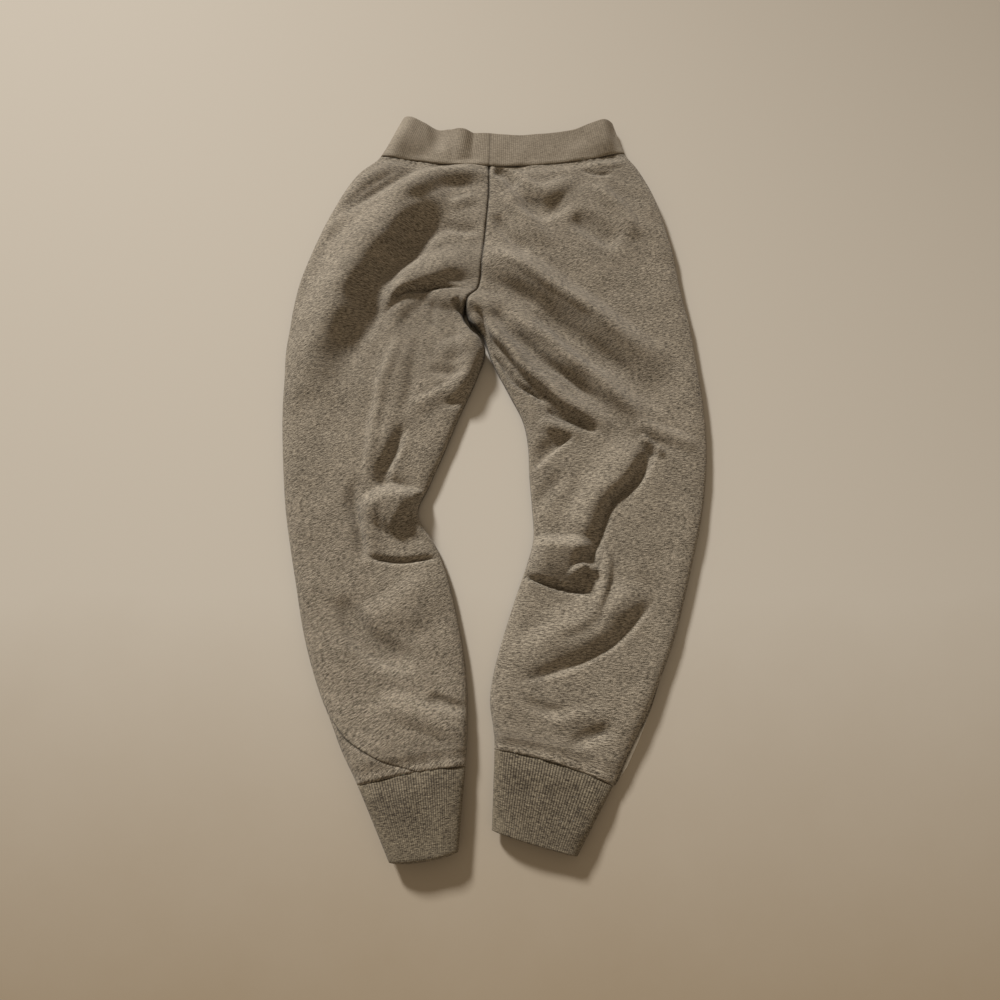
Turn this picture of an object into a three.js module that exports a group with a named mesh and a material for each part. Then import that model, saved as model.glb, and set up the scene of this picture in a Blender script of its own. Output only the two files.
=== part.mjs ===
// Jogger sweatpants laid out flat, back side up, in millimetres.
// +X is the wearer's right leg, +Y is the waist and +Z is up from the surface they lie on.
// Each piece is a wall of cloth: a patch of one mid surface, thickened to both sides.
import * as THREE from "three";

// Driving dimensions
const FLEECE = 2;
const CUFF_RIB = 2.4;
const WAIST_RIB = 3;
const SEAM_GAP = 0.34;
const RIB_HEIGHT = 0.5;
const CUFF_RIBS = 98;
const SEAM_LEVEL = 0.42;
const UPPER_ROLL = 16;
const LOWER_ROLL = 7;
const SEAM_DIP = 3;
const SEAM_DIP_REACH = 15;
const LEAST_TURN = 0.012;

// How finely the walls are divided: columns across a piece and how strongly they crowd towards its
// edges, rows from one station to the next, and the rows' places beside the seams
const BACK_COLUMNS = { count: 14, crowding: 0.55 };
const FRONT_COLUMNS = { count: 7, crowding: 0.75 };
const WAIST_COLUMNS = { count: 13, crowding: 0.5 };
const TURNED_COLUMNS = [0.35, 0.7, 1];
const STATION_ROWS = 1.6;
const SEAM_STEP = 0.006;
const ROWS_BY_SEAM = [SEAM_STEP, 0.16, 0.42];
const CUFF_ROWS = [SEAM_STEP, 0.3, 1];
const WAIST_ROWS = [0, 0.35, 0.75, 1 - SEAM_STEP];

// Where the laid-out garment's own middle lies in the tables' coordinates
const MIDDLE = { x: 0.46, y: 0.35 };

function table(names, rows) {
  const columns = names.split(" ");
  return rows.map((row) => Object.fromEntries(columns.map((name, i) => [name, row[i]])));
}

// Stations down each leg: the waist's mouth, the waist seam, the hip, the crotch, the leg, the cuff
// seam and the cuff's end. outer and inner are the cloth's edges, crown and lift the heights of its
// upper and lower skin, split how far the inner edge rolls under, turn the share of the upper side
// that the front panel covers from the outer edge.
const STATION = "outerX outerY innerX innerY bow crown lift split turn";
const LEFT_LEG = table(STATION, [
  [-101, 378, -3, 354, -6, 15, 0, 0, 0],
  [-124, 330, -4, 315, -4, 12, 0, 0, 0],
  [-149, 302, -4, 276, -3, 14, 0, 0, 0],
  [-170, 260, -7, 235, 0, 15, 0, 0, 0],
  [-187, 214, -10, 195, 0, 15, 0, 0.1, 0],
  [-199, 173, -14, 162, 0, 14, 0, 0.5, 0],
  [-204, 143, -25, 143, 0, 13, 0, 1, 0],
  [-206, 118, -27, 122, 0, 12, 0, 1, 0],
  [-208, 90, -14, 92, 0, 12, 0, 1, 0],
  [-207, 59, -16, 61, 0, 12, 0, 1, 0],
  [-206, 25, -31, 22, 0, 12, 0, 1, 0],
  [-203, -10, -44, -13, 0, 12, 0, 1, 0],
  [-199, -44, -59, -51, 0, 12, 0, 1, 0],
  [-194, -78, -69, -80, 0, 12, 0, 1, 0],
  [-187, -112, -51, -112, 0, 12, 0, 1, 0],
  [-179, -147, -39, -143, 0, 12, 0, 1, 0],
  [-170, -186, -30, -179, 0, 12, 0, 1, 0],
  [-160, -218, -24, -210, 0, 13, 0, 1, 0],
  [-149, -246, -21, -236, 0, 14, 0, 1, 0],
  [-138, -268, -20, -257, 0, 16, 0, 1, 0.01],
  [-127, -292, -20, -279, 0, 18, 2, 1, 0.14],
  [-112, -319, -21, -303, 2, 18, 4, 1, 0.32],
  [-83, -377, -24, -362, 0, 22, 9, 1, 0.32],
]);
const RIGHT_LEG = table(STATION, [
  [134, 373, -3, 354, -9, 15, 0, 0, 0],
  [146, 334, -4, 315, -6, 12, 0, 0, 0],
  [159, 311, -4, 276, -5, 14, 0, 0, 0],
  [171, 284, -7, 235, 0, 15, 0, 0, 0],
  [180, 255, -10, 195, 0, 15, 0, 0.1, 0],
  [187, 223, -14, 162, 0, 14, 0, 0.5, 0],
  [191, 203, -25, 143, 0, 13, 0, 1, 0],
  [194, 174, -24, 125, 0, 12, 0, 1, 0],
  [197, 150, -8, 106, 0, 12, 0, 1, 0],
  [202, 119, 4, 79, 0, 12, 0, 1, 0],
  [205, 84, 16, 46, 0, 12, 0, 1, 0],
  [208, 46, 30, 16, 0, 12, 0, 1, 0],
  [209, 8, 35, -11, 0, 12, 0, 1, 0],
  [207, -28, 36, -42, 0, 12, 0, 1, 0],
  [202, -62, 38, -72, 0, 12, 0, 1, 0],
  [195, -95, 39, -103, 0, 12, 0, 1, 0],
  [185, -130, 32, -130, 0, 12, 0, 1, 0],
  [175, -164, 22, -159, 0, 12, 0, 1, 0],
  [165, -195, 12, -190, 0, 12, 0, 1, 0],
  [152, -225, 3, -222, 0, 13, 0, 1, 0],
  [138, -256, -1, -249, 0, 14, 0, 1, 0],
  [121, -288, 2, -272, 0, 15, 1, 1, 0.02],
  [104, -319, 3, -290, 4, 16, 4, 1, 0.03],
  [72, -373, 1, -353, 0, 20, 8, 1, 0.03],
]);
const WAIST_SEAM = 1;

// The inner edge's place in the way round, just on the underside's half
const UNDERNEATH = 1 + 1e-6;

// Large folds, each along a curve through three points: ridges rise and troughs fall. left and right
// are the reaches to either side of the curve as it is walked.
const FOLDS = table("x0 y0 x1 y1 x2 y2 rise left right", [
  [-106, 384, -98, 362, -94, 336, 4, 15, 15],
  [-62, 386, -54, 362, -50, 334, -2.5, 14, 14],
  [-40, 384, -34, 356, -33, 320, 5, 15, 17],
  [118, 384, 123, 362, 125, 340, 4, 15, 15],
  [-183, 220, -105, 282, -12, 312, 11, 24, 38],
  [-161, 88, -117, 195, -22, 260, -5, 34, 34],
  [-124, 134, -95, 180, -11, 191, 9, 24, 20],
  [-94, 149, -64, 158, -17, 166, -4, 14, 14],
  [-102, -112, -114, 2, -77, 157, 8, 30, 30],
  [-122, -110, -84, -98, -46, -100, 10, 60, 20],
  [-111, -124, -83, -130, -47, -128, -4, 10, 26],
  [-75, -276, -52, -272, -22, -280, 3, 20, 14],
  [-13, 207, 69, 153, 169, 82, 10, 26, 42],
  [8, 178, 89, 113, 172, 40, -4, 26, 26],
  [-14, 143, 40, 66, 116, 8, 9, 26, 14],
  [3, 72, 37, 38, 106, 2, -5, 14, 26],
  [104, -131, 112, -83, 154, -35, -5, 26, 12],
  [76, -93, 99, -49, 145, -6, 6, 24, 24],
  [36, -105, 63, -105, 94, -112, 9, 55, 22],
  [31, -140, 62, -150, 94, -138, -5, 22, 18],
  [28, -220, 96, -199, 140, -161, 7, 28, 24],
]);
const FOLD_STEPS = 10;

// Smooth value of one column at a place between stations
function along(legTable, column, place) {
  const last = legTable.length - 1;
  const at = Math.min(Math.max(place, 0), last);
  const i = Math.min(Math.floor(at), last - 1);
  const f = at - i;
  const value = (k) => legTable[Math.min(Math.max(k, 0), last)][column];
  const [a, b, c, d] = [value(i - 1), value(i), value(i + 1), value(i + 2)];
  const slopeStart = (c - a) / 2;
  const slopeEnd = (d - b) / 2;
  const f2 = f * f;
  const f3 = f2 * f;
  return (2 * f3 - 3 * f2 + 1) * b + (f3 - 2 * f2 + f) * slopeStart
    + (3 * f2 - 2 * f3) * c + (f3 - f2) * slopeEnd;
}

// All columns at a place between stations, kept within what each can mean
function stationAt(leg, place) {
  const at = Object.fromEntries(STATION.split(" ").map((name) => [name, along(leg, name, place)]));
  at.split = THREE.MathUtils.clamp(at.split, 0, 1);
  at.lift = Math.max(at.lift, 0);
  at.turn = Math.max(at.turn, LEAST_TURN);
  return at;
}

// The curve of each fold as short straight steps
const foldCurves = FOLDS.map((fold) => {
  const start = new THREE.Vector2(fold.x0, fold.y0);
  const middle = new THREE.Vector2(fold.x1, fold.y1);
  const end = new THREE.Vector2(fold.x2, fold.y2);
  const handle = middle.clone().multiplyScalar(2).addScaledVector(start, -0.5).addScaledVector(end, -0.5);
  const points = new THREE.QuadraticBezierCurve(start, handle, end).getPoints(FOLD_STEPS);
  return { ...fold, points };
});

// How far all folds together raise the upper side at one place
function foldRise(x, y) {
  let total = 0;
  for (const fold of foldCurves) {
    let best = { distance: Infinity, side: 1, share: 0 };
    for (let i = 0; i < FOLD_STEPS; i++) {
      const a = fold.points[i];
      const step = fold.points[i + 1].clone().sub(a);
      const offsetX = x - a.x;
      const offsetY = y - a.y;
      const t = THREE.MathUtils.clamp((offsetX * step.x + offsetY * step.y) / step.lengthSq(), 0, 1);
      const distance = Math.hypot(offsetX - t * step.x, offsetY - t * step.y);
      const side = step.x * offsetY - step.y * offsetX;
      if (distance < best.distance) best = { distance, side, share: (i + t) / FOLD_STEPS };
    }
    const reach = best.side > 0 ? fold.left : fold.right;
    const across = Math.max(1 - (best.distance / reach) ** 2, 0) ** 2;
    const taper = 1 - (2 * best.share - 1) ** 4;
    total += fold.rise * across * taper;
  }
  return total;
}

// Share of the flat height and the way travelled over a rolled edge, for a place on the half section.
// distance is measured along the cloth from the outer edge, inner is how far the inner edge rolls.
function halfSection(distance, length, rollOuter, rollInner, inner) {
  const arcOuter = rollOuter * Math.PI / 2;
  const flat = length - rollOuter - rollInner * Math.sin(inner * Math.PI / 2);
  if (distance < arcOuter) {
    const angle = distance / rollOuter;
    return { across: rollOuter * (1 - Math.cos(angle)), share: Math.sin(angle) };
  }
  if (distance < arcOuter + flat) {
    return { across: rollOuter + distance - arcOuter, share: 1 };
  }
  const angle = (distance - arcOuter - flat) / rollInner;
  return { across: rollOuter + flat + rollInner * Math.sin(angle), share: Math.cos(angle) };
}

// Length of the half section measured along the cloth
function halfLength(length, rollOuter, rollInner, inner) {
  const quarter = Math.PI / 2;
  return rollOuter * quarter + length - rollOuter - rollInner * Math.sin(inner * quarter)
    + rollInner * quarter * inner;
}

// A point of the cloth's mid surface. around runs from 0 at the outer edge over the top to 1 at the
// inner edge, and on underneath to 2, back at the outer edge.
function clothPoint(leg, place, around, wall) {
  const at = stationAt(leg, place);
  const outer = new THREE.Vector2(at.outerX, at.outerY);
  const inner = new THREE.Vector2(at.innerX, at.innerY);
  const row = inner.clone().sub(outer);
  const width = row.length();
  row.normalize();
  const insetInner = (wall / 2 + SEAM_GAP / 2) * Math.sin(at.split * Math.PI / 2);
  const length = width - wall / 2 - insetInner;
  const wrapped = ((around % 2) + 2) % 2;
  const onTop = wrapped <= 1;
  const roll = onTop ? UPPER_ROLL : LOWER_ROLL;
  const share = onTop ? wrapped : 2 - wrapped;
  const full = halfLength(length, roll, roll, at.split);
  const half = halfSection(share * full, length, roll, roll, at.split);
  const fraction = (half.across + wall / 2) / width;
  const bow = at.bow * 4 * fraction * (1 - fraction);
  const x = outer.x + row.x * fraction * width;
  const y = outer.y + row.y * fraction * width + bow;
  const seamZ = at.lift + SEAM_LEVEL * (at.crown - at.lift);
  if (!onTop) {
    return new THREE.Vector3(x, y, seamZ - (seamZ - at.lift - wall / 2) * half.share);
  }
  const cuffSeam = leg.length - 2;
  const dip = SEAM_DIP * (seamCloseness(leg, place, WAIST_SEAM) + seamCloseness(leg, place, cuffSeam));
  const height = at.crown - wall / 2 + foldRise(x, y) - dip;
  return new THREE.Vector3(x, y, seamZ + (height - seamZ) * half.share);
}

// 1 on a cross seam, falling to 0 a short way to either side
function seamCloseness(leg, place, seam) {
  const near = leg[seam];
  const next = leg[seam + Math.sign(place - seam)] ?? near;
  const spacing = Math.hypot(near.outerX - next.outerX, near.outerY - next.outerY);
  const distance = Math.abs(place - seam) * spacing / SEAM_DIP_REACH;
  return Math.max(1 - distance * distance, 0) ** 2;
}

// The mid surface's unit normal, away from the inside of the leg, and the unit direction towards the
// inner edge over the top, or towards the outer edge underneath. Upper and lower half part at the
// inner edge, so no difference is taken across it.
function clothFrame(leg, side, place, around, wall) {
  const stepPlace = 0.04;
  const stepAround = 0.006;
  const onTop = ((around % 2) + 2) % 2 <= 1;
  const low = around - stepAround;
  const high = around + stepAround;
  const back = clothPoint(leg, place, onTop ? low : Math.max(low, UNDERNEATH), wall);
  const forth = clothPoint(leg, place, onTop && around <= 1 ? Math.min(high, 1) : high, wall);
  const before = clothPoint(leg, place - stepPlace, around, wall);
  const after = clothPoint(leg, place + stepPlace, around, wall);
  const across = forth.sub(back).normalize();
  const normal = after.sub(before).cross(across).multiplyScalar(side).normalize();
  return { normal, across };
}

// The same at the inner edge, where the cloth has turned down from flat by its split
function innerEdgeFrame(leg, place, isUpper) {
  const at = stationAt(leg, place);
  const angle = at.split * Math.PI / 2;
  const inward = new THREE.Vector3(at.innerX - at.outerX, at.innerY - at.outerY, 0).normalize();
  const up = new THREE.Vector3(0, 0, isUpper ? 1 : -1);
  const normal = up.clone().multiplyScalar(Math.cos(angle)).addScaledVector(inward, Math.sin(angle));
  const across = inward.multiplyScalar(Math.cos(angle)).addScaledVector(up, -Math.sin(angle));
  return { normal, across: isUpper ? across : across.negate() };
}

// The outer and inner skin's point at one place of a wall. shift moves both along the cloth.
function skinPoints(point, frame, outerOffset, innerOffset, shift) {
  const base = point.addScaledVector(frame.across, shift);
  const outer = base.clone().addScaledVector(frame.normal, outerOffset);
  outer.z = Math.max(outer.z, 0);
  return { outer, inner: base.addScaledVector(frame.normal, -innerOffset) };
}

// One closed body from a grid of points on the outer skin and one on the inner skin. A ring's columns
// close on themselves, and a sheet's end in an edge face. Each cell is split along the diagonal whose
// ends face most nearly the same way, which runs along the folds.
function wallBody(outerRows, innerRows, isRing) {
  const rows = outerRows.length;
  const columns = outerRows[0].length;
  const points = [...outerRows.flat(), ...innerRows.flat()];
  const faces = [];
  const outer = (r, c) => r * columns + (c % columns);
  const inner = (r, c) => rows * columns + outer(r, c);
  const facing = points.slice(0, rows * columns).map((point, i) => (
    point.clone().sub(points[rows * columns + i]).normalize()
  ));
  const quad = (a, b, c, d) => faces.push(a, b, c, a, c, d);
  const lastColumn = isRing ? columns : columns - 1;
  for (let r = 0; r < rows - 1; r++) {
    for (let c = 0; c < lastColumn; c++) {
      const corners = [[r, c], [r, c + 1], [r + 1, c + 1], [r + 1, c]];
      if (!followsFold(corners.map(([i, j]) => facing[outer(i, j)]))) corners.push(corners.shift());
      quad(...corners.map(([i, j]) => outer(i, j)));
      const [first, ...others] = corners.map(([i, j]) => inner(i, j));
      quad(first, ...others.reverse());
    }
  }
  for (let c = 0; c < lastColumn; c++) {
    quad(outer(0, c), inner(0, c), inner(0, c + 1), outer(0, c + 1));
    quad(outer(rows - 1, c), outer(rows - 1, c + 1), inner(rows - 1, c + 1), inner(rows - 1, c));
  }
  if (!isRing) {
    for (let r = 0; r < rows - 1; r++) {
      quad(outer(r, 0), outer(r + 1, 0), inner(r + 1, 0), inner(r, 0));
      quad(outer(r, columns - 1), inner(r, columns - 1), inner(r + 1, columns - 1), outer(r + 1, columns - 1));
    }
  }
  return outwardGeometry(points, faces);
}

// Whether a cell's first and third corner face more nearly alike than its second and fourth
function followsFold([a, b, c, d]) {
  return a.dot(c) >= b.dot(d);
}

// Indexed geometry whose faces point out, whichever way they were wound
function outwardGeometry(points, faces) {
  let volume = 0;
  for (let i = 0; i < faces.length; i += 3) {
    const [a, b, c] = [points[faces[i]], points[faces[i + 1]], points[faces[i + 2]]];
    volume += a.dot(b.clone().cross(c));
  }
  if (volume < 0) faces.reverse();
  const geometry = new THREE.BufferGeometry();
  geometry.setAttribute("position", new THREE.Float32BufferAttribute(points.flatMap((p) => p.toArray()), 3));
  geometry.setIndex(faces);
  geometry.computeVertexNormals();
  return geometry;
}

// Places down a leg from one seam to the next: closer together beside both seams
function placesBetween(start, end, perStation) {
  const places = ROWS_BY_SEAM.map((step) => start + step);
  const middleCount = Math.round((end - start - 2) * perStation);
  for (let i = 0; i <= middleCount; i++) {
    places.push(start + 1 + (end - start - 2) * i / middleCount);
  }
  places.push(...ROWS_BY_SEAM.map((step) => end - step).reverse());
  return places;
}

// Shares from 0 to 1, closer together at both ends
function crowdedEnds({ count, crowding }) {
  return Array.from({ length: count + 1 }, (_, i) => {
    const share = i / count;
    return share - crowding * Math.sin(2 * Math.PI * share) / (2 * Math.PI);
  });
}

// The way round of a panel's columns: over the top for the back, and for the front underneath to the
// outer edge and then up to the turned side seam.
function panelColumns(isBack, turn) {
  if (isBack) return crowdedEnds(BACK_COLUMNS).map((share) => turn + (1 - turn) * share);
  const underside = crowdedEnds(FRONT_COLUMNS).map((share) => UNDERNEATH + share);
  return [...underside, ...TURNED_COLUMNS.map((share) => 2 + turn * share)];
}

// A fleece panel between two cross seams, from the side seam to the inner or centre seam. Both edge
// columns stand half a seam gap back from their seam.
function panel(leg, side, isBack) {
  const outerRows = [];
  const innerRows = [];
  for (const place of placesBetween(WAIST_SEAM, leg.length - 2, STATION_ROWS)) {
    const columns = panelColumns(isBack, stationAt(leg, place).turn);
    const row = columns.map((around, i) => {
      const point = clothPoint(leg, place, around, FLEECE);
      const onInnerEdge = i === (isBack ? columns.length - 1 : 0);
      const frame = onInnerEdge ? innerEdgeFrame(leg, place, isBack) : clothFrame(leg, side, place, around, FLEECE);
      const shift = i === 0 ? SEAM_GAP / 2 : i === columns.length - 1 ? -SEAM_GAP / 2 : 0;
      return skinPoints(point, frame, FLEECE / 2, FLEECE / 2, shift);
    });
    outerRows.push(row.map((skins) => skins.outer));
    innerRows.push(row.map((skins) => skins.inner));
  }
  return wallBody(outerRows, innerRows, false);
}

// A rib cuff: a tube whose outer skin stands up in ribs over a plain inside
function cuff(leg, side) {
  const seam = leg.length - 2;
  const columnCount = CUFF_RIBS * 2;
  const outerRows = [];
  const innerRows = [];
  for (const step of CUFF_ROWS) {
    const place = seam + step;
    const row = Array.from({ length: columnCount }, (_, c) => {
      const around = 2 * c / columnCount;
      const point = clothPoint(leg, place, around, CUFF_RIB);
      const groove = c % 2 === 0 ? 0 : RIB_HEIGHT;
      const frame = clothFrame(leg, side, place, around, CUFF_RIB);
      return skinPoints(point, frame, CUFF_RIB / 2 - groove, CUFF_RIB / 2, 0);
    });
    outerRows.push(row.map((skins) => skins.outer));
    innerRows.push(row.map((skins) => skins.inner));
  }
  return wallBody(outerRows, innerRows, true);
}

// The waistband: one rib tube, folded double, over both legs' upper ends
function waistband() {
  const shares = crowdedEnds(WAIST_COLUMNS).slice(0, -1);
  const trips = [
    { leg: LEFT_LEG, side: 1, start: 0, end: 1 },
    { leg: RIGHT_LEG, side: -1, start: 1, end: 0 },
    { leg: RIGHT_LEG, side: -1, start: 2, end: 1 },
    { leg: LEFT_LEG, side: 1, start: UNDERNEATH, end: 2 },
  ];
  const outerRows = [];
  const innerRows = [];
  for (const place of WAIST_ROWS) {
    const row = trips.flatMap(({ leg, side, start, end }) => shares.map((share) => {
      const around = start + (end - start) * share;
      const point = clothPoint(leg, place, around, WAIST_RIB);
      const frame = clothFrame(leg, side, place, around, WAIST_RIB);
      return skinPoints(point, frame, WAIST_RIB / 2, WAIST_RIB / 2, 0);
    }));
    outerRows.push(row.map((skins) => skins.outer));
    innerRows.push(row.map((skins) => skins.inner));
  }
  return wallBody(outerRows, innerRows, true);
}

const fleeceCloth = new THREE.MeshStandardMaterial({ color: 0x7d7264, roughness: 0.95, metalness: 0 });
const ribCloth = new THREE.MeshStandardMaterial({ color: 0x716757, roughness: 0.95, metalness: 0 });

const pants = new THREE.Group();

function addPiece(name, geometry, material) {
  const mesh = new THREE.Mesh(geometry, material);
  mesh.name = name;
  mesh.position.set(-MIDDLE.x, -MIDDLE.y, 0);
  pants.add(mesh);
}

addPiece("waistband", waistband(), ribCloth);
addPiece("back_panel_left", panel(LEFT_LEG, 1, true), fleeceCloth);
addPiece("back_panel_right", panel(RIGHT_LEG, -1, true), fleeceCloth);
addPiece("front_panel_left", panel(LEFT_LEG, 1, false), fleeceCloth);
addPiece("front_panel_right", panel(RIGHT_LEG, -1, false), fleeceCloth);
addPiece("cuff_left", cuff(LEFT_LEG, 1), ribCloth);
addPiece("cuff_right", cuff(RIGHT_LEG, -1), ribCloth);

export default pants;
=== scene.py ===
import math

import bpy
import numpy as np
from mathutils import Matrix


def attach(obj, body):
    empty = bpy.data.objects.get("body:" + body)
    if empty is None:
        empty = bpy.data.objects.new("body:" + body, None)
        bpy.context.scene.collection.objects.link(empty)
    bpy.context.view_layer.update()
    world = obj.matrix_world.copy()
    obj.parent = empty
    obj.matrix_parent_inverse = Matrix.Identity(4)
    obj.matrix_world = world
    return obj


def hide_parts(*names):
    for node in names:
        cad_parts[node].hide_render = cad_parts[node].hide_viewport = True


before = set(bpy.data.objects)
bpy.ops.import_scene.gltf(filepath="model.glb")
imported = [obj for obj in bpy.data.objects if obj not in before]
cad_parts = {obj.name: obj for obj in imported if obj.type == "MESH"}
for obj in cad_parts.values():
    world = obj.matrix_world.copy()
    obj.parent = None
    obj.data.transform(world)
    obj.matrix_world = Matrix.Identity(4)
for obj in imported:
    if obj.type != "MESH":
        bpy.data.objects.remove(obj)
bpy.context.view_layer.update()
bpy.ops.object.select_all(action="DESELECT")


# The camera
# Held over the lower legs, 685 mm above the table and tilted 17.2 degrees from straight down, with
# the wide lens of a hand-held camera.

bpy.ops.object.camera_add(location=(0.00754, -0.2764, 0.685), rotation=(math.radians(17.2), 0, 0))
camera = bpy.context.object
camera.data.sensor_width = 36
camera.data.lens = 27.04
bpy.context.scene.camera = camera


# The table top and the light
# A plain table of pale moulded plastic, matt, with painted shade that makes it a little darker in
# front where the lamp's light falls off, one soft lamp on the left behind the waist, and weak light
# from the room, so that the folds shade away from the lamp.

LAMP_DIRECTION = (121, 29)
LAMP_DISTANCE = 8
LAMP_SIZE = 1.1
LAMP_SPREAD = 27
LAMP_AIM = (-0.22, 0, 0)
LAMP_POWER = 20.5
ROOM_LIGHT = 0.35
SHADED_TABLE = (-0.48, -0.12)
TABLE_CLOUDS = 0.2


def to_linear(hex_colour):
    """An sRGB colour such as "#c2b9aa" as linear values for a shader."""
    coded = [int(hex_colour[i:i + 2], 16) / 255 for i in (1, 3, 5)]
    return (*[c / 12.92 if c <= 0.04045 else ((c + 0.055) / 1.055) ** 2.4 for c in coded], 1)


def add_node(material, kind, values=None, links=None, **settings):
    """One shader node, with its settings, its sockets' values and the outputs linked to them."""
    tree = material.node_tree
    made = tree.nodes.new(kind)
    for name, value in settings.items():
        setattr(made, name, value)
    for socket, value in (values or {}).items():
        made.inputs[socket].default_value = value
    for socket, source in (links or {}).items():
        tree.links.new(source, made.inputs[socket])
    return made


def new_material(name, roughness):
    """A material with only its surface node, and that node."""
    material = bpy.data.materials.new(name)
    material.use_nodes = True
    material.node_tree.nodes.clear()
    surface = add_node(material, "ShaderNodeBsdfPrincipled", values={"Roughness": roughness})
    add_node(material, "ShaderNodeOutputMaterial", links={"Surface": surface.outputs["BSDF"]})
    return material, surface


def colour_between(material, dark, light, factor):
    """The output of a node that goes from one colour to another with factor."""
    ramp = add_node(material, "ShaderNodeValToRGB", links={"Fac": factor})
    ramp.color_ramp.elements[0].color = to_linear(dark)
    ramp.color_ramp.elements[1].color = to_linear(light)
    return ramp.outputs["Color"]


plastic, plastic_surface = new_material("moulded_table_plastic", 0.8)
plastic_surface.inputs["Specular IOR Level"].default_value = 0.2
table_place = add_node(plastic, "ShaderNodeTexCoord")
table_cloud = add_node(
    plastic, "ShaderNodeTexNoise", values={"Scale": 7, "Detail": 5, "Roughness": 0.65},
    links={"Vector": table_place.outputs["Object"]},
)
table_across = add_node(
    plastic, "ShaderNodeSeparateXYZ", links={"Vector": table_place.outputs["Object"]},
)
# Painted shade: the plastic's colour darkens towards the front between the two places in SHADED_TABLE,
# where the lamp's light falls off; the clouds are the plastic's own uneven tone.
table_shade = add_node(
    plastic, "ShaderNodeMapRange", links={"Value": table_across.outputs["Y"]},
    values={"From Min": SHADED_TABLE[0], "From Max": SHADED_TABLE[1]},
)
table_tone = add_node(
    plastic, "ShaderNodeMath", values={1: TABLE_CLOUDS}, operation="MULTIPLY_ADD",
    links={0: table_cloud.outputs["Fac"], 2: table_shade.outputs["Result"]},
)
plastic.node_tree.links.new(
    colour_between(plastic, "#9c8c75", "#bfb7aa", table_tone.outputs["Value"]),
    plastic_surface.inputs["Base Color"],
)

bpy.ops.mesh.primitive_plane_add(size=6, location=(0, 0, -0.0004))
table_top = bpy.context.object
table_top.name = "table_top"
table_top.data.materials.append(plastic)

azimuth, elevation = (math.radians(angle) for angle in LAMP_DIRECTION)
lamp_place = (
    LAMP_AIM[0] + LAMP_DISTANCE * math.cos(azimuth) * math.cos(elevation),
    LAMP_AIM[1] + LAMP_DISTANCE * math.sin(azimuth) * math.cos(elevation),
    LAMP_DISTANCE * math.sin(elevation),
)
bpy.ops.object.light_add(
    type="AREA", location=lamp_place,
    rotation=(math.radians(90) - elevation, 0, azimuth + math.radians(90)),
)
lamp = bpy.context.object
lamp.data.energy = LAMP_POWER
lamp.data.size = LAMP_SIZE
lamp.data.spread = math.radians(LAMP_SPREAD)

room = bpy.data.worlds.new("room")
room.use_nodes = True
room.node_tree.nodes["Background"].inputs["Color"].default_value = to_linear("#ffebd0")
room.node_tree.nodes["Background"].inputs["Strength"].default_value = ROOM_LIGHT
bpy.context.scene.world = room
bpy.context.scene.view_settings.view_transform = "Standard"


# The two back panels
# Grey heather fleece, cut as two back legs and joined by the centre back seam. Each is a 2 mm wall
# through sections down the leg, with the folds that it lies in raised one by one.

# Thickness, and the radius of the rolled edges above and below their seams
FLEECE = 2
UPPER_ROLL = 16
LOWER_ROLL = 7

# The seams: the gap between two pieces, the side seam's share of the height, how deep the cross seams
# lie and how far that reaches, and the tuck right beside a panel's edge
SEAM_GAP = 0.34
SEAM_LEVEL = 0.42
SEAM_DIP = 3
SEAM_DIP_REACH = 15
TUCK = 2.6
TUCK_REACH = 1.4

# The least height inside, and how softly a trough levels out on it
LEAST_ROOM = 0.8
FLOOR_SOFTNESS = 1.2

# Where down the leg the knitted rows start and end to turn, and how far they then rise per mm
GRAIN_START, GRAIN_END = 150, 320
LEFT_GRAIN = 0.4
RIGHT_GRAIN = -0.06

# The origin on the table below, the waist seam's station, the gap in stations at a cross seam, the
# least turn of a side seam, and the first place round that counts as the lower side
MIDDLE = (0.46, 0.35, 0)
WAIST_SEAM = 1
STATION_GAP = 0.006
LEAST_TURN = 0.012
UNDERNEATH = 1 + 1e-6

# How closely the rows crowd at the cross seams, and the columns at a panel's edges
ROW_CROWDING = 0.35
COLUMN_CROWDING = 0.4
FOLD_STEPS = 16
WAVE_COUNT = 22


def table(names, rows):
    """A short table as one array for each named column."""
    return dict(zip(names.split(), np.array(rows, float).T))


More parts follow.
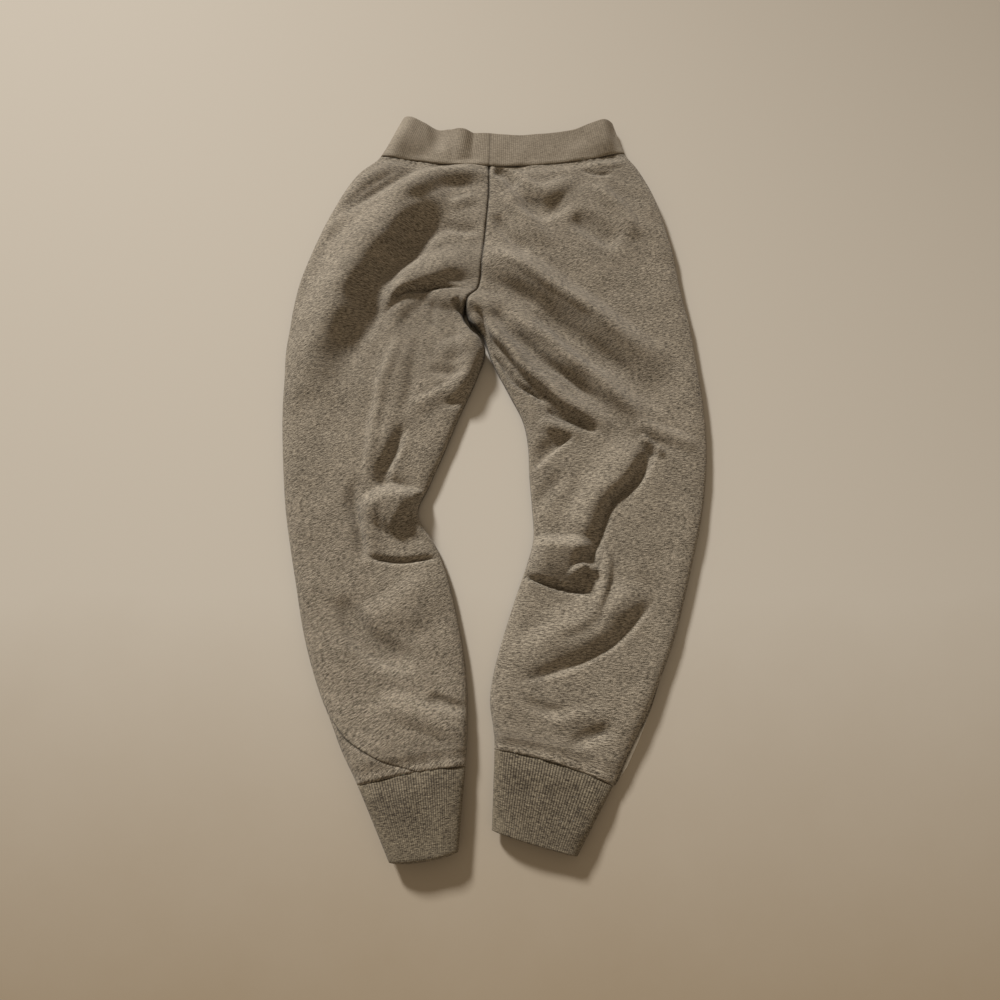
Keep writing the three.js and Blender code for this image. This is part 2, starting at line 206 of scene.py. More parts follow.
# Stations down each leg, in mm: the waist's mouth, the waist seam, the hip, the crotch, the leg, the
# cuff seam and the cuff's end. Each gives the outer and the inner edge, how far the row between them
# bows down, the heights of upper and lower side, how far the legs have parted, and how far the side
# seam has turned onto the upper side. The last turn only sets how fast it bends into the cuff seam
STATION = "outer_x outer_y inner_x inner_y bow crown lift split turn"
LEFT_LEG = table(STATION, [
    [-101, 378, -3, 354, -6, 15, 0, 0, 0],
    [-124, 330, -4, 315, -4, 12, 0, 0, 0],
    [-149, 302, -4, 276, -3, 14, 0, 0, 0],
    [-170, 260, -7, 235, 0, 15, 0, 0, 0],
    [-187, 214, -10, 195, 0, 15, 0, 0, 0],
    [-199, 173, -14, 162, 0, 14, 0, 0, 0],
    [-204, 143, -25, 143, 0, 13, 0, 0.3, 0],
    [-206, 118, -28, 122, 0, 12, 0, 0.3, 0],
    [-208, 90, -7, 92, 0, 12, 0, 0.5, 0],
    [-207, 59, -15, 61, 0, 12, 0, 1, 0],
    [-206, 25, -31, 22, 0, 12, 0, 1, 0],
    [-203, -10, -44, -13, 0, 12, 0, 1, 0],
    [-199, -44, -59, -51, 0, 12, 0, 1, 0],
    [-194, -78, -69, -80, 0, 12, 0, 1, 0],
    [-187, -112, -51, -112, 0, 12, 0, 1, 0],
    [-179, -147, -39, -143, 0, 12, 0, 1, 0],
    [-170, -186, -30, -179, 0, 12, 0, 1, 0],
    [-160, -218, -24, -210, 0, 13, 0, 1, 0],
    [-149, -246, -21, -236, 0, 14, 0, 1, 0],
    [-138, -268, -20, -257, 0, 16, 0, 1, 0.06],
    [-127, -292, -20, -279, 0, 17, 1, 1, 0.2],
    [-112, -319, -21, -303, 2, 17, 3, 1, 0.56],
    [-83, -377, -26, -369, -3, 17, 6, 1, 2],
])
RIGHT_LEG = table(STATION, [
    [134, 373, -3, 354, -9, 15, 0, 0, 0],
    [146, 334, -4, 315, -6, 12, 0, 0, 0],
    [159, 311, -4, 276, -5, 14, 0, 0, 0],
    [171, 284, -7, 235, 0, 15, 0, 0, 0],
    [180, 255, -10, 195, 0, 15, 0, 0, 0],
    [187, 223, -14, 162, 0, 14, 0, 0, 0],
    [191, 203, -25, 143, 0, 13, 0, 0.3, 0],
    [194, 174, -24, 125, 0, 12, 0, 0.3, 0],
    [197, 150, -10, 106, 0, 12, 0, 0.5, 0],
    [202, 119, 0, 79, 0, 12, 0, 1, 0],
    [205, 84, 16, 46, 0, 12, 0, 1, 0],
    [208, 46, 30, 16, 0, 12, 0, 1, 0],
    [209, 8, 35, -11, 0, 12, 0, 1, 0],
    [207, -28, 36, -42, 0, 12, 0, 1, 0],
    [202, -62, 38, -72, 0, 12, 0, 1, 0],
    [195, -95, 39, -103, 0, 12, 0, 1, 0],
    [185, -130, 32, -130, 0, 12, 0, 1, 0],
    [175, -164, 22, -159, 0, 12, 0, 1, 0],
    [165, -195, 12, -190, 0, 12, 0, 1, 0],
    [152, -225, 3, -222, 0, 13, 0, 1, 0],
    [138, -256, -1, -249, 0, 14, 0, 1, 0],
    [121, -288, 2, -272, 0, 14, 0, 1, 0],
    [104, -319, 3, -290, 4, 14, 1, 1, 0],
    [72, -373, 1, -353, -1, 15, 3, 1, 0],
])

# Folds in mm, each along a curve through three points, from left to right or upwards: how far it
# rises, its reach to the side of the lamp and to the shaded side, how far its crest leans over to the
# shaded side, and how sharp its bottom or crest is
FOLDS = table("x0 y0 x1 y1 x2 y2 rise lit shaded lean sharp", [
    [-170, 258, -138, 290, -92, 324, 3, 13, 11, 0, 0],
    [-146, 258, -109, 284, -80, 318, -5, 11, 13, 0, 0],
    [-184, 218, -130, 262, -72, 312, 2, 8, 12, 0, 0],
    [-182, 14, -136, 190, -44, 299, 20, 44, 42, 2, 0],
    [-116, 250, -60, 294, -4, 304, 9, 20, 19, 1, 0],
    [-172, 24, -110, 173, -42, 250, -9, 30, 24, 0, 0],
    [-46, 256, -32, 266, -12, 272, 3, 8, 12, 0, 0],
    [-56, 238, -36, 230, -14, 228, -4, 11, 10, 0, 0.2],
    [-112, 130, -84, 167, -4, 188, 11, 28, 16, 2, 0],
    [-100, 140, -80, 160, -18, 157, -9, 4, 7, 0, 0.4],
    [-108, 100, -92, 132, -79, 155, 4, 12, 14, 0, 0],
    [-56, 104, -58, 128, -60, 150, -2, 6, 8, 0, 0.3],
    [-37, 146, -30, 128, -12, 98, -12, 6, 6, 0, 0.3],
    [-72, 160, -30, 143, 14, 130, 8.5, 24, 14, 0, 0],
    [-34, 150, -16, 92, -32, 26, 10, 14, 22, 0, 0],
    [-60, 84, -38, 92, -12, 96, 4, 13, 14, 0, 0],
    [-62, 72, -42, 67, -24, 68, -4, 9, 8, 0, 0],
    [-80, 24, -50, 43, -14, 66, 3.5, 10, 16, 0, 0],
    [-46, 27, -32, 33, -22, 38, -2.5, 8, 8, 0, 0],
    [-104, -56, -101, 30, -90, 126, 4.5, 22, 26, 0, 0],
    [-115, -64, -112, 28, -92, 118, 3.5, 6, 8, 0, 0],
    [-88, 8, -80, 60, -78, 116, -2, 9, 9, 0, 0],
    [-103, -62, -96, -26, -84, 10, -8, 13, 8, 0, 0.2],
    [-118, -88, -92, -66, -62, -80, 16, 17, 62, 2, 0],
    [-110, -55, -92, -47, -74, -57, -5, 9, 4, 0, 0.4],
    [-116, -121, -82, -128, -46, -123, -9, 5, 3, 0, 0.3],
    [-114, -128, -124, -92, -131, -46, -7, 11, 7, 0, 0.2],
    [-104, -122, -112, -92, -116, -60, 3, 6, 12, 0, 0],
    [-76, -60, -66, -61, -56, -67, 6, 6, 7, 1, 0],
    [-77, -64, -72, -86, -52, -112, 3.5, 6, 8, 0, 0],
    [-78, -64, -73, -90, -56, -114, -2.5, 4, 12, 0, 0.2],
    [-116, -188, -82, -166, -44, -140, 5, 22, 34, 0, 0],
    [-140, -156, -110, -200, -62, -224, -10, 20, 16, 0, 0],
    [-100, -249, -58, -264, -22, -288, 5, 13, 12, 0, 0],
    [-58, -247, -38, -254, -18, -262, -5, 9, 9, 0, 0],
    [-2, 307, 14, 300, 30, 284, -8, 11, 11, 0, 0.2],
    [10, 297, 34, 276, 56, 255, -4, 10, 10, 0, 0],
    [24, 306, 50, 276, 94, 302, 5, 12, 12, 0, 0],
    [26, 272, 52, 253, 82, 272, -6, 15, 16, 0, 0],
    [12, 282, 34, 246, 66, 202, 4.5, 11, 12, 0, 0],
    [2, 250, 18, 226, 44, 200, -5, 10, 11, 0, 0],
    [82, 246, 108, 230, 136, 214, -7, 18, 16, 0, 0],
    [110, 290, 134, 252, 154, 216, 6, 13, 13, 0, 0],
    [98, 312, 112, 304, 132, 302, -4, 6, 7, 0, 0.3],
    [104, 321, 122, 314, 146, 318, 2, 6, 6, 0, 0],
    [-20, 208, 76, 148, 176, 60, 18, 22, 27, 5, 0],
    [-8, 206, 70, 153, 150, 84, 4, 7, 7, 1, 0],
    [40, 136, 104, 86, 176, 20, -6, 14, 15, 0, 0],
    [0, 150, 84, 76, 160, -4, 11, 14, 18, 4, 0],
    [40, 116, 90, 74, 150, 2, 4, 7, 7, 1, 0],
    [10, 118, 62, 70, 120, 18, -5, 10, 9, 0, 0],
    [-14, 144, 40, 64, 122, 1, 15, 10, 9, 6, 0],
    [-4, 88, 24, 55, 52, 32, -14, 4, 3.5, 0, 0.3],
    [50, 25, 72, 14, 106, 0, -6, 10, 3, 0, 0.3],
    [44, 14, 62, 7, 88, -4, 5, 6, 8, 0, 0],
    [32, -38, 58, -17, 80, 2, -8, 20, 6, 0, 0.3],
    [144, -2, 153, -12, 164, -28, 6, 5, 6, 0, 0],
    [136, 12, 166, -2, 198, -18, 4.5, 12, 11, 0, 0],
    [84, -118, 107, -62, 149, -8, 10, 30, 17, 2, 0],
    [38, -84, 52, -58, 74, -36, -3, 11, 12, 0, 0],
    [88, -137, 104, -92, 124, -56, -9.5, 20, 6, 0, 0.15],
    [108, -70, 136, -50, 157, -8, -11, 18, 6, 0, 0.15],
    [22, -108, 62, -110, 98, -116, 16, 10, 46, 3, 0.3],
    [20, -135, 56, -149, 94, -155, -11, 8, 4, 0, 0.4],
    [74, -140, 88, -129, 101, -142, 9, 5, 6, 1, 0],
    [90, -170, 104, -142, 103, -110, 5, 7, 7, 0, 0],
    [36, -190, 82, -170, 102, -140, 4, 14, 17, 1, 0],
    [48, -199, 90, -182, 111, -146, -2, 8, 9, 0, 0],
    [8, -216, 88, -184, 136, -142, 8.5, 19, 24, 1, 0],
    [16, -233, 98, -207, 150, -156, -4, 12, 5, 0, 0.3],
    [28, -248, 48, -258, 72, -264, -3, 9, 9, 0, 0],
    [44, -272, 78, -264, 108, -262, 3, 12, 12, 0, 0],
    [64, -288, 84, -281, 106, -272, -3.5, 10, 9, 0, 0],
    [-112, 392, -100, 362, -92, 326, 6, 30, 30, 0, 0],
    [-68, 392, -62, 362, -56, 330, -4, 14, 13, 0, 0],
    [-41, 392, -35, 356, -32, 316, 5, 12, 13, 0, 0],
    [112, 392, 122, 362, 126, 326, 6, 14, 36, 0, 0],
])


def along(column, place):
    """The smooth value of one column at places between stations."""
    last = len(column) - 1
    at = np.clip(place, 0, last)
    i = np.minimum(at.astype(int), last - 1)
    f = at - i
    a, b, c, d = (column[np.clip(i + k, 0, last)] for k in (-1, 0, 1, 2))
    return (
        (2 * f**3 - 3 * f**2 + 1) * b + (f**3 - 2 * f**2 + f) * (c - a) / 2
        + (3 * f**2 - 2 * f**3) * c + (f**3 - f**2) * (d - b) / 2
    )


def station_at(leg, place):
    """All columns at places between stations, kept within what each can mean."""
    at = {name: along(column, place) for name, column in leg.items()}
    at["split"] = np.clip(at["split"], 0, 1)
    at["lift"] = np.maximum(at["lift"], 0)
    at["turn"] = np.maximum(at["turn"], LEAST_TURN)
    return at


def curve_points(fold):
    """Points along a fold's curve, which passes through its middle point."""
    start, middle, end = (np.array([fold[f"x{i}"], fold[f"y{i}"]]) for i in range(3))
    handle = 2 * middle - (start + end) / 2
    t = np.linspace(0, 1, FOLD_STEPS + 1)[:, None]
    return (1 - t)**2 * start + 2 * t * (1 - t) * handle + t**2 * end


def fold_shape(x, y):
    """How far the folds raise the cloth at each place, and how far they lean it sideways."""
    shape = np.zeros((3, len(x)))
    for row in zip(*FOLDS.values()):
        fold = dict(zip(FOLDS, row))
        points = curve_points(fold)
        reach = max(fold["lit"], fold["shaded"])
        low, high = points.min(0) - reach, points.max(0) + reach
        near = np.flatnonzero((x > low[0]) & (x < high[0]) & (y > low[1]) & (y < high[1]))
        best = np.full(len(near), np.inf)
        side, share = np.ones(len(near)), np.zeros(len(near))
        across_x, across_y = np.zeros(len(near)), np.zeros(len(near))
        for i, (a, b) in enumerate(zip(points, points[1:])):
            step = b - a
            off_x, off_y = x[near] - a[0], y[near] - a[1]
            t = np.clip((off_x * step[0] + off_y * step[1]) / (step @ step), 0, 1)
            distance = np.hypot(off_x - t * step[0], off_y - t * step[1])
            closer = distance < best
            best = np.where(closer, distance, best)
            side = np.where(closer, np.sign(step[0] * off_y - step[1] * off_x), side)
            share = np.where(closer, (i + t) / FOLD_STEPS, share)
            across_x = np.where(closer, step[1] / np.hypot(*step), across_x)
            across_y = np.where(closer, -step[0] / np.hypot(*step), across_y)
        q = np.minimum(best / np.where(side > 0, fold["lit"], fold["shaded"]), 1)
        profile = (1 - fold["sharp"]) * (1 - q**2)**2 + fold["sharp"] * (1 - q)**2
        profile *= (1 - (2 * share - 1)**4)**2
        shape[0, near] += fold["rise"] * profile
        shape[1, near] += fold["lean"] * profile * across_x
        shape[2, near] += fold["lean"] * profile * across_y
    return shape


def waves(x, y, seed, shortest, longest, height):
    """Soft uneven waves in all directions, from a fixed seed."""
    dice = np.random.default_rng(seed)
    total = np.zeros(len(x))
    for _ in range(WAVE_COUNT):
        angle, phase = dice.uniform(0, math.tau, 2)
        length = dice.uniform(shortest, longest)
        total += np.cos((x * math.cos(angle) + y * math.sin(angle)) * math.tau / length + phase)
    return height * total / math.sqrt(WAVE_COUNT / 2)


def seam_distance(leg, place, seam):
    """The distance down the leg from a cross seam, in mm, negative above it."""
    x = (leg["outer_x"] + leg["inner_x"]) / 2
    y = (leg["outer_y"] + leg["inner_y"]) / 2
    steps = np.hypot(np.diff(x), np.diff(y))
    down = np.concatenate([[0], np.cumsum(steps)])
    return np.interp(place, np.arange(len(down)), down) - down[seam]


def bump(distance, middle, reach):
    """A soft bump, 1 at its middle and 0 beyond its reach."""
    return np.maximum(1 - ((distance - middle) / reach)**2, 0)**2


def half_section(distance, length, roll, inner):
    """Way travelled and share of the height on a flat half section with rolled edges."""
    quarter = math.pi / 2
    arc = roll * quarter
    flat = length - roll - roll * np.sin(inner * quarter)
    outer_angle = distance / roll
    inner_angle = (distance - arc - flat) / roll
    on_outer, on_flat = distance < arc, distance < arc + flat
    across = np.where(
        on_outer, roll * (1 - np.cos(outer_angle)),
        np.where(on_flat, roll + distance - arc, roll + flat + roll * np.sin(inner_angle)),
    )
    share = np.where(on_outer, np.sin(outer_angle), np.where(on_flat, 1, np.cos(inner_angle)))
    return across, share


def cloth_points(leg, place, around, wall, detail):
    """Points of a leg's mid surface in mm, and the way round in mm. around runs from 0 at the outer
    edge over the top to 1 at the inner edge and on underneath to 2. detail gives further height for
    the upper side from the points and the distances to both cross seams."""
    at = station_at(leg, place)
    row_x, row_y = at["inner_x"] - at["outer_x"], at["inner_y"] - at["outer_y"]
    width = np.hypot(row_x, row_y)
    quarter = math.pi / 2
    inset = (wall / 2 + SEAM_GAP / 2) * np.sin(at["split"] * quarter)
    length = width - wall / 2 - inset
    wrapped = np.mod(around, 2)
    on_top = wrapped <= 1
    roll = np.where(on_top, UPPER_ROLL, LOWER_ROLL)
    full = roll * quarter * (1 + at["split"]) + length - roll - roll * np.sin(at["split"] * quarter)
    distance = np.where(on_top, wrapped, 2 - wrapped) * full
    across, share = half_section(distance, length, roll, at["split"])
    fraction = (across + wall / 2) / width
    x = at["outer_x"] + row_x * fraction
    y = at["outer_y"] + row_y * fraction + at["bow"] * 4 * fraction * (1 - fraction)
    seam_z = at["lift"] + SEAM_LEVEL * (at["crown"] - at["lift"])
    from_waist = seam_distance(leg, place, WAIST_SEAM)
    from_cuff = seam_distance(leg, place, len(leg["bow"]) - 2)
    dip = SEAM_DIP * (bump(from_waist, 0, SEAM_DIP_REACH) + bump(from_cuff, 0, SEAM_DIP_REACH))
    rise, lean_x, lean_y = fold_shape(
        x + waves(x, y, 11, 40, 110, 1.2), y + waves(x, y, 12, 40, 110, 1.2),
    )
    top = at["crown"] - wall / 2 + rise - dip + detail(x, y, from_waist, from_cuff)
    floor = at["lift"] + 1.5 * wall + LEAST_ROOM
    top = floor + FLOOR_SOFTNESS * np.logaddexp(0, (top - floor) / FLOOR_SOFTNESS)
    z = np.where(
        on_top, seam_z + (top - seam_z) * share,
        seam_z - (seam_z - at["lift"] - wall / 2) * share,
    )
    lean = np.where(on_top, share, 0)
    points = np.stack([x + lean * lean_x, y + lean * lean_y, z], axis=1)
    return points, np.where(on_top, distance, -distance)


def crowded(share, crowding):
    """Shares from 0 to 1, closer together at both ends."""
    return share - crowding * np.sin(math.tau * share) / math.tau


def cloth_grid(name, columns, rows, side):
    """A grid piece and each vertex's share of the way round and of the way down the leg."""
    bpy.ops.mesh.primitive_grid_add(x_subdivisions=columns, y_subdivisions=rows, size=2)
    piece = bpy.context.object
    piece.name = name
    spots = np.empty(len(piece.data.vertices) * 3)
    piece.data.vertices.foreach_get("co", spots)
    spots = spots.reshape(-1, 3) / 2 + 0.5
    down = 1 - spots[:, 1] if side > 0 else spots[:, 1]
    return piece, spots[:, 0], down


def place_vertices(piece, points, cloth_place):
    """Puts the vertices at points in mm, and lays the cloth's own coordinates in their units."""
    piece.data.vertices.foreach_set("co", ((points - MIDDLE) / 1000).ravel())
    corners = np.empty(len(piece.data.loops), int)
    piece.data.loops.foreach_get("vertex_index", corners)
    piece.data.uv_layers.active.name = "cloth"
    piece.data.uv_layers["cloth"].data.foreach_set("uv", (cloth_place[corners] / CLOTH_UNIT).ravel())
    piece.data.update()


def thicken(piece, wall, material):
    """Gives the piece its wall, smooth faces and its material."""
    solid = piece.modifiers.new("wall", "SOLIDIFY")
    solid.thickness = wall / 1000
    solid.offset = 0
    bpy.context.view_layer.objects.active = piece
    bpy.ops.object.modifier_apply(modifier=solid.name)
    piece.data.shade_smooth()
    piece.data.materials.append(material)


# Patterns of the mixed yarn: length and height in mm, finer steps and share. Threads are 0.4 mm and
# too fine to show, so they are drawn twice as coarse
YARN = (
    ("dash", 3.3333, 0.7692, 2, 1.1),
    ("streak", 8.3333, 1.3333, 2, 0.6),
    ("speckle", 0.7692, 0.5882, 0, 0.45),
    ("cloud", 50, 25, 2, 0.15),
)
CLOTH_UNIT = 100
INNER_SIDE = "#f2ece1"


def heather(name, dark, light, contrast, nap, valley):
    """Mixed grey yarn, matt, with short raised fibres that give a soft edge to the light. The valley
    mask attribute darkens seams and the valleys of ribs with painted shade, and pale shows the brushed
    inner side."""
    material, surface = new_material(name, 0.95)
    surface.inputs["Sheen Weight"].default_value = 0.12
    surface.inputs["Sheen Roughness"].default_value = 0.5
    place = add_node(material, "ShaderNodeUVMap", uv_map="cloth")
    noises, total = {}, None
    for kind, length, tall, detail, share in YARN:
        scaled = add_node(
            material, "ShaderNodeMapping", links={"Vector": place.outputs["UV"]},
            values={"Scale": (CLOTH_UNIT / length, CLOTH_UNIT / tall, 1)},
        )
        noises[kind] = add_node(
            material, "ShaderNodeTexNoise", values={"Scale": 1, "Detail": detail, "Distortion": 0.3},
            links={"Vector": scaled.outputs["Vector"]}, noise_dimensions="2D",
        ).outputs["Fac"]
        offset = {2: total} if total else {}
        total = add_node(
            material, "ShaderNodeMath", values={1: share * contrast, **({} if total else {2: 0})},
            links={0: noises[kind], **offset}, operation="MULTIPLY_ADD",
        ).outputs["Value"]
    middle = 0.5 - contrast * sum(pattern[4] for pattern in YARN) / 2
    centred = add_node(
        material, "ShaderNodeMath", values={1: middle}, links={0: total}, operation="ADD",
    )
    groove = add_node(material, "ShaderNodeAttribute", attribute_name="groove")
    # Painted shade: the valley mask, scaled by valley, draws the yarn towards its dark colour in seams
    # and rib valleys
    shaded = add_node(
        material, "ShaderNodeMath", values={1: -valley},
        links={0: groove.outputs["Fac"], 2: centred.outputs["Value"]}, operation="MULTIPLY_ADD",
    )
    yarn = colour_between(material, dark, light, shaded.outputs["Value"])
    pale = add_node(material, "ShaderNodeAttribute", attribute_name="pale")
    coloured = add_node(
        material, "ShaderNodeMix", values={7: to_linear(INNER_SIDE)}, data_type="RGBA",
        links={0: pale.outputs["Fac"], 6: yarn},
    )
    material.node_tree.links.new(coloured.outputs[2], surface.inputs["Base Color"])
    fibres = add_node(
        material, "ShaderNodeMath", values={1: 0.6},
        links={0: noises["speckle"], 2: noises["dash"]}, operation="MULTIPLY_ADD",
    )
    raised = add_node(
        material, "ShaderNodeBump", values={"Strength": nap, "Distance": 0.001},
        links={"Height": fibres.outputs["Value"]},
    )
    material.node_tree.links.new(raised.outputs["Normal"], surface.inputs["Normal"])
    return material


# Puckers gathered by the waist and cuff seams: height, spacing, and how far from the seam they fade
WAIST_PUCKER, WAIST_PUCKER_STEP, WAIST_PUCKER_REACH = 0.45, 8.5, 9
CUFF_PUCKER, CUFF_PUCKER_STEP, CUFF_PUCKER_REACH = 0.4, 15, 14
WAIST_WELT = 0.4
CUFF_WELT = 0.7


def panel_detail(x, y, from_waist, from_cuff):
    """Small unevenness of a fleece panel: soft waves, puckers beside the cross seams, most of them at
    the waist's two ends, and the seam allowance's welt along each."""
    height = waves(x, y, 3, 22, 80, 0.4)
    at_ends = 0.25 + 0.75 * bump(np.abs(x - 10), 105, 40)
    waist_fade = np.exp(-np.abs(from_waist) / WAIST_PUCKER_REACH) * at_ends
    waist_pucker = np.cos(math.tau * x / WAIST_PUCKER_STEP + 3 * np.sin(x / 14))
    height += WAIST_PUCKER * waist_fade * waist_pucker
    cuff_fade = np.exp(-np.abs(from_cuff) / CUFF_PUCKER_REACH)
    cuff_pucker = np.cos(math.tau * x / CUFF_PUCKER_STEP + 2 * np.sin(x / 9))
    height += CUFF_PUCKER * cuff_fade * cuff_pucker
    height += CUFF_WELT * bump(np.abs(from_cuff), 2.2, 1.8)
    return height + WAIST_WELT * bump(np.abs(from_waist), 2.4, 2)


def keep_values(piece, name, values):
    """Stores one value per vertex on the piece, for its material to read."""
    piece.data.attributes.new(name, "FLOAT", "POINT").data.foreach_set("value", values)


PALE_FROM = 3.2


def lie_out_flat(piece, points, at, width, out):
    """Lays the outer edge out flat by out mm, where the cloth's paler inner side shows."""
    points[:, 0] += out * (at["outer_x"] - at["inner_x"]) / width
    points[:, 1] += out * (at["outer_y"] - at["inner_y"]) / width
    flat = np.clip(out, 0, 1)
    points[:, 2] += flat * (at["lift"] + FLEECE / 2 - points[:, 2])
    keep_values(piece, "pale", np.clip(out - PALE_FROM, 0, 1))


def panel(name, leg, side, is_back, columns, rows, grain, lip=None):
    """A fleece panel from the side seam to the inner or centre seam, its edges drawn into the seams.
    grain is how far the knitted rows rise per mm on the lower leg, and lip gives how far in mm the
    outer edge lies out flat beyond the leg at each place and distance from that edge."""
    piece, share, down = cloth_grid(name, columns, rows, side)
    length = len(leg["bow"]) - 2 - WAIST_SEAM - 2 * STATION_GAP
    place = WAIST_SEAM + STATION_GAP + crowded(down, ROW_CROWDING) * length
    across = crowded(share, COLUMN_CROWDING)
    at = station_at(leg, place)
    start, end = (at["turn"], 1) if is_back else (UNDERNEATH, 2 + at["turn"])
    around = start + (end - start) * across
    points, distance = cloth_points(leg, place, around, FLEECE, panel_detail)
    width = np.hypot(at["inner_x"] - at["outer_x"], at["inner_y"] - at["outer_y"])
    from_seam = np.minimum(across, 1 - across) * width
    tuck = np.exp(-(from_seam / TUCK_REACH)**2) * (np.mod(around, 2) <= 1)
    points[:, 2] -= TUCK * tuck
    # The tuck's mask is kept for the material, which darkens the seam beside each edge with painted
    # shade
    keep_values(piece, "groove", tuck)
    if lip:
        lie_out_flat(piece, points, at, width, lip(leg, place, (1 - across) * width))
    down_leg = seam_distance(leg, place, 0)
    rows_rise = grain * np.clip((down_leg - GRAIN_START) / (GRAIN_END - GRAIN_START), 0, 1)
    place_vertices(piece, points, np.stack([distance, down_leg + rows_rise * distance], axis=1))
    thicken(piece, FLEECE, fleece)
    return piece


def lay(piece, node):
    """Lets a piece ride on the one body in its solid's place, and hides that solid."""
    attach(piece, "root")
    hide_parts(node)


fleece = heather("heather_fleece", "#453d30", "#aa9e8b", 1.85, 0.75, 1)
back_left = panel("back_left", LEFT_LEG, 1, True, 110, 360, LEFT_GRAIN)
back_right = panel("back_right", RIGHT_LEG, -1, True, 110, 360, RIGHT_GRAIN)
lay(back_left, "back_panel_left")
lay(back_right, "back_panel_right")


# The two front panels
# The same fleece, underneath and flat on the table. Each turns up over the leg's outer edge to the
# side seam. On the left leg it shows near the cuff, and on the right leg its edge lies out a little
# there and shows the paler inner side.

# The lip's reach beyond the leg, its length up the leg, the stretch over which it narrows again at
# the cuff seam, and the width of cloth that lies flat for it
LIP = 5.4
LIP_LENGTH = 100
LIP_END = 24
LIP_WIDTH = 12


def lip(leg, place, from_edge):
    """The last stretch above the cuff seam, where the front panel's edge lies out under the leg."""
    above_cuff = -seam_distance(leg, place, len(leg["bow"]) - 2)
    growing = 1.4 - 1.4 * above_cuff / LIP_LENGTH
    narrowing = 0.5 + above_cuff / LIP_END
    reach = LIP * np.clip(np.minimum(growing, narrowing), 0, 1)
    return reach * np.clip(1 - from_edge / LIP_WIDTH, 0, 1)


front_left = panel("front_left", LEFT_LEG, 1, False, 70, 220, LEFT_GRAIN)
front_right = panel("front_right", RIGHT_LEG, -1, False, 70, 220, RIGHT_GRAIN, lip)
lay(front_left, "front_panel_left")
lay(front_right, "front_panel_right")


# The waistband
# One strip of fine heather rib, folded double over elastic and sewn into a ring with its joining
# seam at the centre back. The ribs run from the mouth to the waist seam.

WAIST_RIB = 3
WAIST_RIB_DEPTH = 0.2
WAIST_RIB_PITCH = 2
WAIST_LENGTH = 48

# Ribs on the left top, the right top, the right bottom and the left bottom, and the grid steps of each
WAIST_RIBS = (60, 68, 68, 60)
STEPS_PER_WAIST_RIB = 4
RING_CROWDING = 0.3


def rib_groove(ribs):
    """0 on each rib's crest and 1 in the narrow valley between two ribs."""
    return 1 - np.abs(np.sin(math.pi * ribs))


def close_and_rib(piece, groove, depth, wall, material):
    """Closes a ring along its first and last column, sinks its valleys and gives it its wall. The
    valley mask is kept for the material, which darkens the valleys with painted shade.
    """
    keep_values(piece, "groove", groove)
    bpy.ops.object.mode_set(mode="EDIT")
    bpy.ops.mesh.select_all(action="SELECT")
    bpy.ops.mesh.remove_doubles(threshold=0.00005)
    bpy.ops.object.mode_set(mode="OBJECT")
    count = len(piece.data.vertices)
    spots, normals, kept = np.empty(count * 3), np.empty(count * 3), np.empty(count)
    piece.data.vertices.foreach_get("co", spots)
    piece.data.vertices.foreach_get("normal", normals)
    piece.data.attributes["groove"].data.foreach_get("value", kept)
    spots -= normals * np.repeat(kept, 3) * depth / 1000
    piece.data.vertices.foreach_set("co", spots)
    piece.data.update()
    thicken(piece, wall, material)


def waist_detail(x, y, from_waist, from_cuff):
    """Small waves of the elastic, a rolled rim at the mouth and a tuck at the waist seam, where the
    thick band lies less deep than a panel does."""
    height = waves(x, y, 8, 22, 60, 0.3) + 0.7 * SEAM_DIP * bump(from_waist, 0, SEAM_DIP_REACH)
    rim = np.maximum(1 - (from_waist + WAIST_LENGTH) / 3, 0)**2
    return height - 1.2 * rim - 0.9 * bump(from_waist, 0, 2.6)


rib_count = sum(WAIST_RIBS)
waistband, rib_share, down = cloth_grid("waistband_rib", rib_count * STEPS_PER_WAIST_RIB, 26, 1)
ribs = rib_share * rib_count
trip = np.interp(ribs, np.concatenate([[0], np.cumsum(WAIST_RIBS)]), np.arange(5))
place = crowded(down, RING_CROWDING) * (WAIST_SEAM - STATION_GAP)
on_left = (trip <= 1) | (trip > 3)
around_left = np.where(trip <= 1, trip, np.maximum(trip - 2, UNDERNEATH))
around_right = np.where(trip <= 2, np.maximum(2 - trip, 0), np.maximum(4 - trip, UNDERNEATH))
points = np.where(
    on_left[:, None],
    cloth_points(LEFT_LEG, place, around_left, WAIST_RIB, waist_detail)[0],
    cloth_points(RIGHT_LEG, place, around_right, WAIST_RIB, waist_detail)[0],
)
from_mouth = seam_distance(LEFT_LEG, place, 0)
place_vertices(waistband, points, np.stack([ribs * WAIST_RIB_PITCH, from_mouth], axis=1))
waist_rib = heather("waist_rib_knit", "#685e4f", "#aea28f", 0.85, 0.3, 0.35)
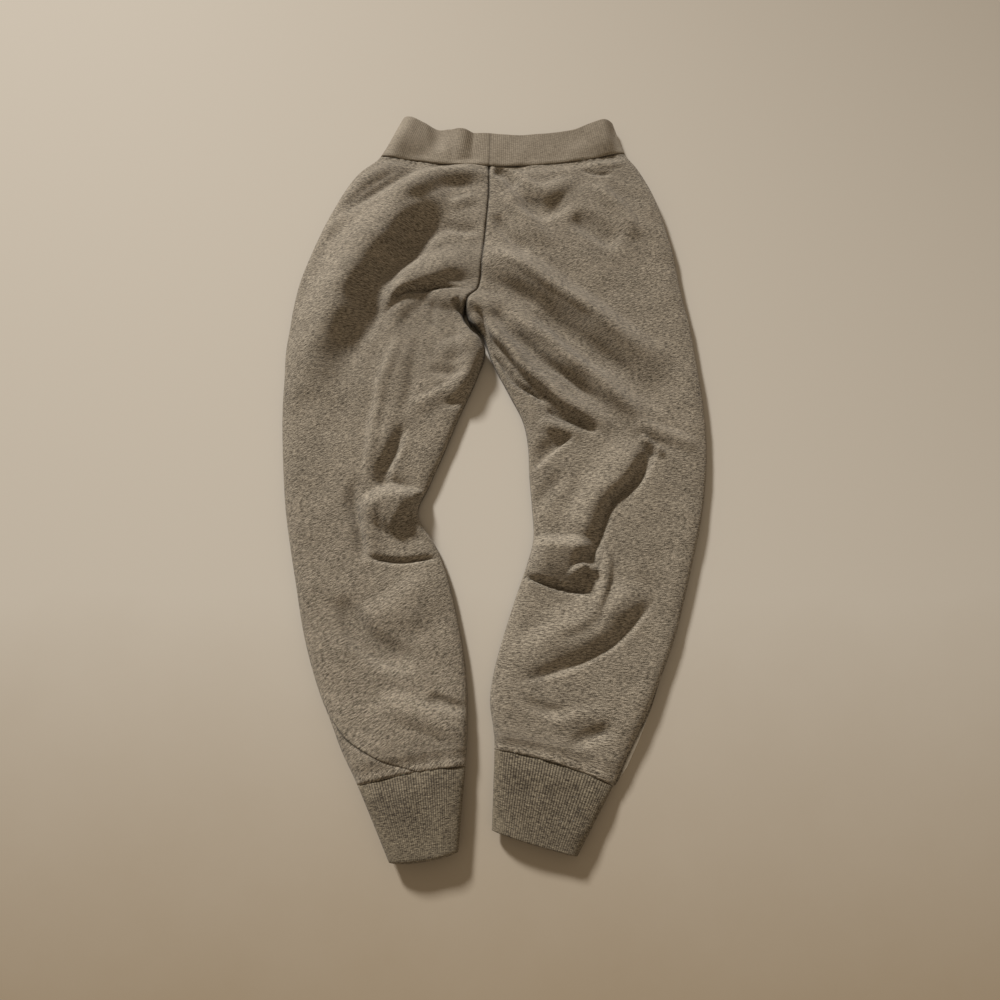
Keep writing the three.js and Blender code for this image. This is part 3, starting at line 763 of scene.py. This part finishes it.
# The joining seam is sunk like a rib valley, and the material darkens it with painted shade
joining_seam = 2 * bump(ribs, WAIST_RIBS[0], 0.8)
groove = np.maximum(rib_groove(ribs), joining_seam)
close_and_rib(waistband, groove, WAIST_RIB_DEPTH, WAIST_RIB, waist_rib)
lay(waistband, "waistband")


# The two cuffs
# Tubes of darker one by one rib, gathered onto the leg ends and standing a little off the table at
# their mouths, with 98 ribs each.

CUFF_RIB = 2.4
CUFF_RIB_DEPTH = 0.32
CUFF_RIB_PITCH = 1.9
CUFF_RIBS = 98
STEPS_PER_CUFF_RIB = 6
CUFF_LENGTH = 62


def cuff_detail(x, y, from_waist, from_cuff):
    """Small waves of the rib, a rolled rim at the mouth and a tuck at the cuff seam."""
    height = waves(x, y, 12, 18, 50, 0.35)
    rim = np.maximum(1 - (CUFF_LENGTH - from_cuff) / 3, 0)**2
    return height - rim - 1.2 * bump(from_cuff, 0, 3)


def cuff(name, leg, side):
    """A ribbed tube from the cuff seam to the leg's mouth."""
    piece, share, down = cloth_grid(name, CUFF_RIBS * STEPS_PER_CUFF_RIB, 30, side)
    cuff_seam = len(leg["bow"]) - 2
    place = cuff_seam + STATION_GAP + crowded(down, RING_CROWDING) * (1 - STATION_GAP)
    around = np.where(share <= 0.5, share * 2, np.maximum(share * 2, UNDERNEATH))
    points, _ = cloth_points(leg, place, around, CUFF_RIB, cuff_detail)
    ribs = share * CUFF_RIBS
    cloth_place = np.stack([ribs * CUFF_RIB_PITCH, seam_distance(leg, place, 0)], axis=1)
    place_vertices(piece, points, cloth_place)
    begun = np.clip(seam_distance(leg, place, cuff_seam) / 3, 0, 1)
    # The rib valleys are sunk, and the material darkens them with painted shade
    close_and_rib(piece, rib_groove(ribs) * begun, CUFF_RIB_DEPTH, CUFF_RIB, cuff_rib)
    return piece


cuff_rib = heather("cuff_rib_knit", "#352c1f", "#938771", 1.3, 0.45, 1.1)
cuff_rib_left = cuff("cuff_rib_left", LEFT_LEG, 1)
cuff_rib_right = cuff("cuff_rib_right", RIGHT_LEG, -1)
lay(cuff_rib_left, "cuff_left")
lay(cuff_rib_right, "cuff_right")
